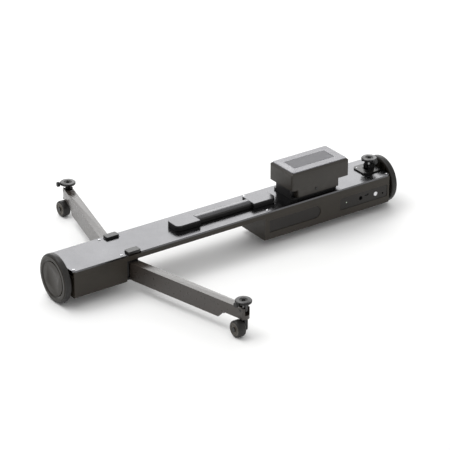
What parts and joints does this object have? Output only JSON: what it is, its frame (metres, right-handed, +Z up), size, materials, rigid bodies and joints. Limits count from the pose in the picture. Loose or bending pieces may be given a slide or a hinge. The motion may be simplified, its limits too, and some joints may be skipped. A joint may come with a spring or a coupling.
{
  "type": "motorised tripod dolly slider",
  "caption": "Flat motorised floor dolly for a camera tripod: a bar with a drive wheel at each end, fold-out arms with rollers, tilting spike cups, carry handle and a clip-on battery.",
  "frame": {"origin": "on the floor under the middle of the bar, centre of the bounding box at its base", "axes": "+X along the bar from the arm end to the battery end, +Y away from the side with the port panel, along the way it rolls, +Z up"},
  "size_m": [0.842, 0.6906, 0.148],
  "materials": {
    "deck_metal": "anodised dark grey, satin",
    "housing_metal": "dark bronze-grey satin powder coat",
    "arm_metal": "anodised dark bronze-grey, satin",
    "cover_metal": "satin",
    "bright_steel": "bright",
    "black_steel": "black oxide",
    "ground_steel": "ground",
    "panel_gloss": "dark semi-gloss",
    "socket_plastic": "moulded",
    "button_metal": "turned face",
    "mount_aluminium": "milled",
    "motor_steel": "zinc plated",
    "wheel_metal": "dark semi-gloss",
    "tyre_rubber": "moulded rubber",
    "hub_cap_metal": "dark satin",
    "circuit_board": "solder mask",
    "black_metal": "black anodised",
    "roller_plastic": "moulded",
    "pad_rubber": "moulded",
    "knob_plastic": "moulded",
    "release_plastic": "moulded",
    "grip_rubber": "moulded",
    "handle_metal": "anodised grey, satin",
    "cap_plastic": "black semi-gloss",
    "mount_plastic": "moulded",
    "battery_plastic": "fine textured",
    "battery_lid_plastic": "fine textured"
  },
  "bodies": {
    "chassis": {"deck_plate": "deck_metal", "deck_channel": "housing_metal", "deck_screws": "bright_steel", "left_housing": "housing_metal", "right_housing": "housing_metal", "bottom_covers": "cover_metal", "cover_screws": "black_steel", "port_panel": "panel_gloss", "port_sockets": "socket_plastic", "side_window": "panel_gloss", "motor_mounts": "mount_aluminium", "drive_bearings": "black_steel", "left_gearmotor": "motor_steel", "right_gearmotor": "motor_steel", "main_board": "circuit_board", "hinge_bracket": "black_metal", "hinge_pins": "bright_steel", "deck_foot_base": "black_metal", "handle_caps": "cap_plastic", "cap_plates": "handle_metal", "battery_mount": "mount_plastic"},
    "left_drive": {"left_shaft": "ground_steel", "left_wheel": "wheel_metal", "left_tyre": "tyre_rubber", "left_hub_cap": "hub_cap_metal"},
    "right_drive": {"right_shaft": "ground_steel", "right_wheel": "wheel_metal", "right_tyre": "tyre_rubber", "right_hub_cap": "hub_cap_metal"},
    "near_arm": {"near_arm": "arm_metal", "near_arm_root": "black_metal", "near_roller_bracket": "black_metal"},
    "far_arm": {"far_arm": "arm_metal", "far_arm_root": "black_metal", "far_roller_bracket": "black_metal"},
    "near_roller": {"near_roller_hub": "roller_plastic", "near_roller_tyre": "tyre_rubber"},
    "far_roller": {"far_roller_hub": "roller_plastic", "far_roller_tyre": "tyre_rubber"},
    "near_cross": {"near_trunnion": "bright_steel"},
    "far_cross": {"far_trunnion": "bright_steel"},
    "deck_cross": {"deck_trunnion": "bright_steel"},
    "near_foot": {"near_cup": "black_metal", "near_cup_pad": "pad_rubber"},
    "far_foot": {"far_cup": "black_metal", "far_cup_pad": "pad_rubber"},
    "deck_foot": {"deck_cup": "black_metal", "deck_cup_pad": "pad_rubber"},
    "near_clamp": {"near_clamp_screw": "knob_plastic"},
    "far_clamp": {"far_clamp_screw": "knob_plastic"},
    "deck_clamp": {"deck_clamp_screw": "knob_plastic"},
    "near_release": {"near_release": "release_plastic"},
    "far_release": {"far_release": "release_plastic"},
    "handle": {"handle_grip": "grip_rubber", "handle_plate": "handle_metal", "handle_posts": "ground_steel"},
    "battery": {"battery_case": "battery_plastic", "battery_lid": "battery_lid_plastic"},
    "battery_button": {"battery_button": "release_plastic"},
    "power_button": {"power_button": "button_metal"}
  },
  "joints": [
    {"name": "near_arm_fold", "type": "hinge", "parent": "chassis", "child": "near_arm", "pos_m": [-0.2595, -0.026, 0.045], "axis": [0, 0, 1], "range_deg": [0, 68]},
    {"name": "far_arm_fold", "type": "hinge", "parent": "chassis", "child": "far_arm", "pos_m": [-0.2595, 0.026, 0.045], "axis": [0, 0, -1], "range_deg": [0, 68]},
    {"name": "left_wheel_spin", "type": "hinge", "parent": "chassis", "child": "left_drive", "pos_m": [-0.412, 0, 0.052], "axis": [1, 0, 0], "continuous": true},
    {"name": "right_wheel_spin", "type": "hinge", "parent": "chassis", "child": "right_drive", "pos_m": [0.412, 0, 0.052], "axis": [1, 0, 0], "continuous": true},
    {"name": "near_roller_spin", "type": "hinge", "parent": "near_arm", "child": "near_roller", "pos_m": [-0.19726, -0.32776, 0.0175], "axis": [1, 0, 0], "continuous": true},
    {"name": "far_roller_spin", "type": "hinge", "parent": "far_arm", "child": "far_roller", "pos_m": [-0.19726, 0.32776, 0.0175], "axis": [1, 0, 0], "continuous": true},
    {"name": "near_foot_swing", "type": "hinge", "parent": "near_arm", "child": "near_cross", "pos_m": [-0.18426, -0.32776, 0.057], "axis": [0.9703, 0.2419, 0], "range_deg": [-18, 18]},
    {"name": "far_foot_swing", "type": "hinge", "parent": "far_arm", "child": "far_cross", "pos_m": [-0.18426, 0.32776, 0.057], "axis": [-0.9703, 0.2419, 0], "range_deg": [-18, 18]},
    {"name": "deck_foot_swing", "type": "hinge", "parent": "chassis", "child": "deck_cross", "pos_m": [0.38, 0, 0.0905], "axis": [0, -1, 0], "range_deg": [-18, 18]},
    {"name": "near_foot_lean", "type": "hinge", "parent": "near_cross", "child": "near_foot", "pos_m": [-0.18426, -0.32776, 0.057], "axis": [0.2419, -0.9703, 0], "range_deg": [-18, 18]},
    {"name": "far_foot_lean", "type": "hinge", "parent": "far_cross", "child": "far_foot", "pos_m": [-0.18426, 0.32776, 0.057], "axis": [-0.2419, -0.9703, 0], "range_deg": [-18, 18]},
    {"name": "deck_foot_lean", "type": "hinge", "parent": "deck_cross", "child": "deck_foot", "pos_m": [0.38, 0, 0.0905], "axis": [1, 0, 0], "range_deg": [-18, 18]},
    {"name": "near_clamp_turn", "type": "hinge", "parent": "near_foot", "child": "near_clamp", "pos_m": [-0.18426, -0.32776, 0.07425], "axis": [-0.9703, -0.2419, 0], "range_deg": [-180, 180]},
    {"name": "far_clamp_turn", "type": "hinge", "parent": "far_foot", "child": "far_clamp", "pos_m": [-0.18426, 0.32776, 0.07425], "axis": [-0.9703, 0.2419, 0], "range_deg": [-180, 180]},
    {"name": "deck_clamp_turn", "type": "hinge", "parent": "deck_foot", "child": "deck_clamp", "pos_m": [0.38, 0, 0.10775], "axis": [0, -1, 0], "range_deg": [-180, 180]},
    {"name": "near_release_press", "type": "slide", "parent": "chassis", "child": "near_release", "axis": [0, 0, -1], "range_m": [0, 0.003], "stiffness_N_per_m": 400},
    {"name": "far_release_press", "type": "slide", "parent": "chassis", "child": "far_release", "axis": [0, 0, -1], "range_m": [0, 0.003], "stiffness_N_per_m": 400},
    {"name": "handle_lift", "type": "slide", "parent": "chassis", "child": "handle", "axis": [0, 0, 1], "range_m": [0, 0.022]},
    {"name": "battery_slide", "type": "slide", "parent": "chassis", "child": "battery", "axis": [1, 0, 0], "range_m": [0, 0.025]},
    {"name": "battery_button_press", "type": "slide", "parent": "battery", "child": "battery_button", "axis": [0, 1, 0], "range_m": [0, 0.0015], "stiffness_N_per_m": 400},
    {"name": "power_button_press", "type": "slide", "parent": "chassis", "child": "power_button", "axis": [0, 1, 0], "range_m": [0, 0.0012], "stiffness_N_per_m": 500}
  ]
}
